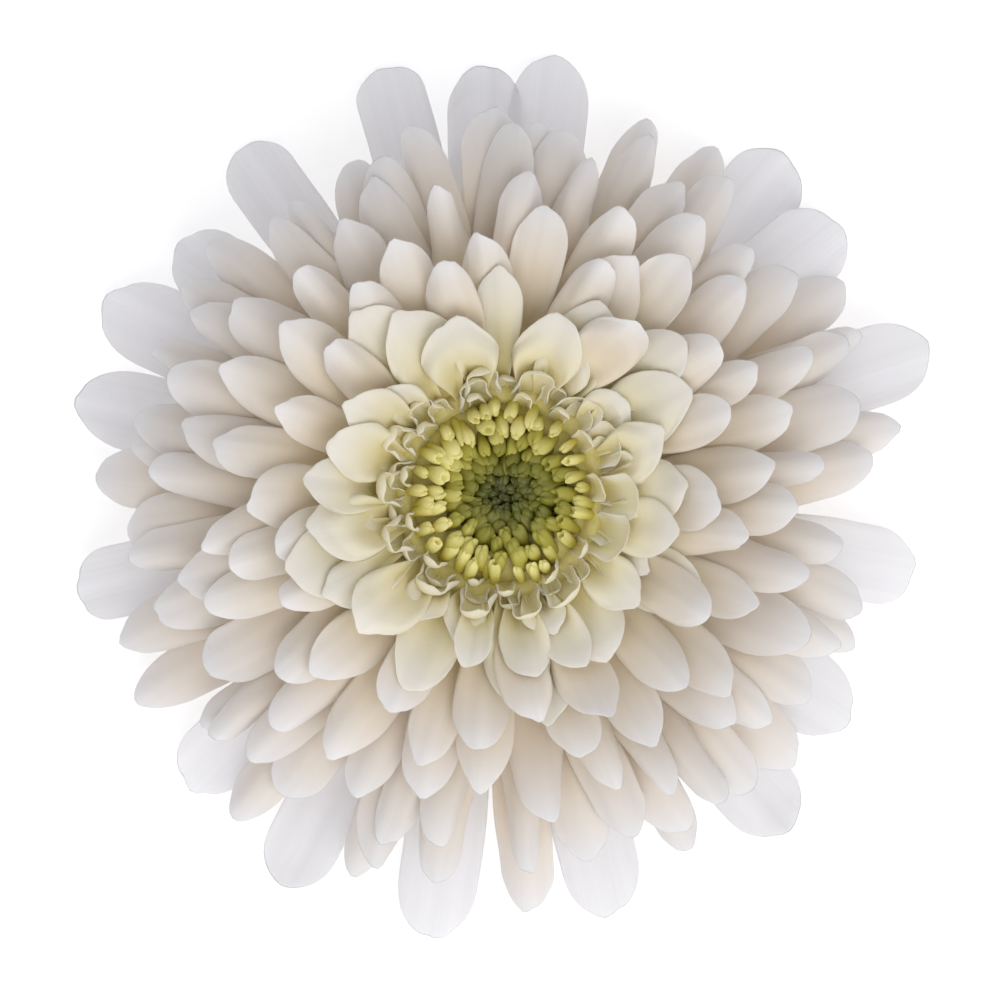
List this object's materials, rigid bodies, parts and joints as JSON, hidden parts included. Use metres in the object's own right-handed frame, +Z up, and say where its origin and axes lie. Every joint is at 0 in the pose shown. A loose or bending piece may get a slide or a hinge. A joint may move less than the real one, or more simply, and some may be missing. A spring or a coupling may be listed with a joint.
{
  "type": "chrysanthemum bloom",
  "caption": "Cut white chrysanthemum bloom: domed layers of spoon-shaped ray florets round a green eye of unopened disc florets, on a cup of bracts and a short cut stalk.",
  "frame": {"origin": "on the surface the bloom rests on, under the middle of the bloom, at the flat cut end of its stalk", "axes": "+Z up along the stalk, out of the face of the bloom; +X to the right and +Y to the top of the picture"},
  "size_m": [0.0984, 0.1015, 0.0323],
  "materials": {
    "white_petal": "matte",
    "green_bud": "satin",
    "green_bract": "matte"
  },
  "bodies": {
    "root": {"ray_florets": "white_petal", "disc_florets": "green_bud", "involucre_and_stalk": "green_bract"}
  },
  "joints": []
}
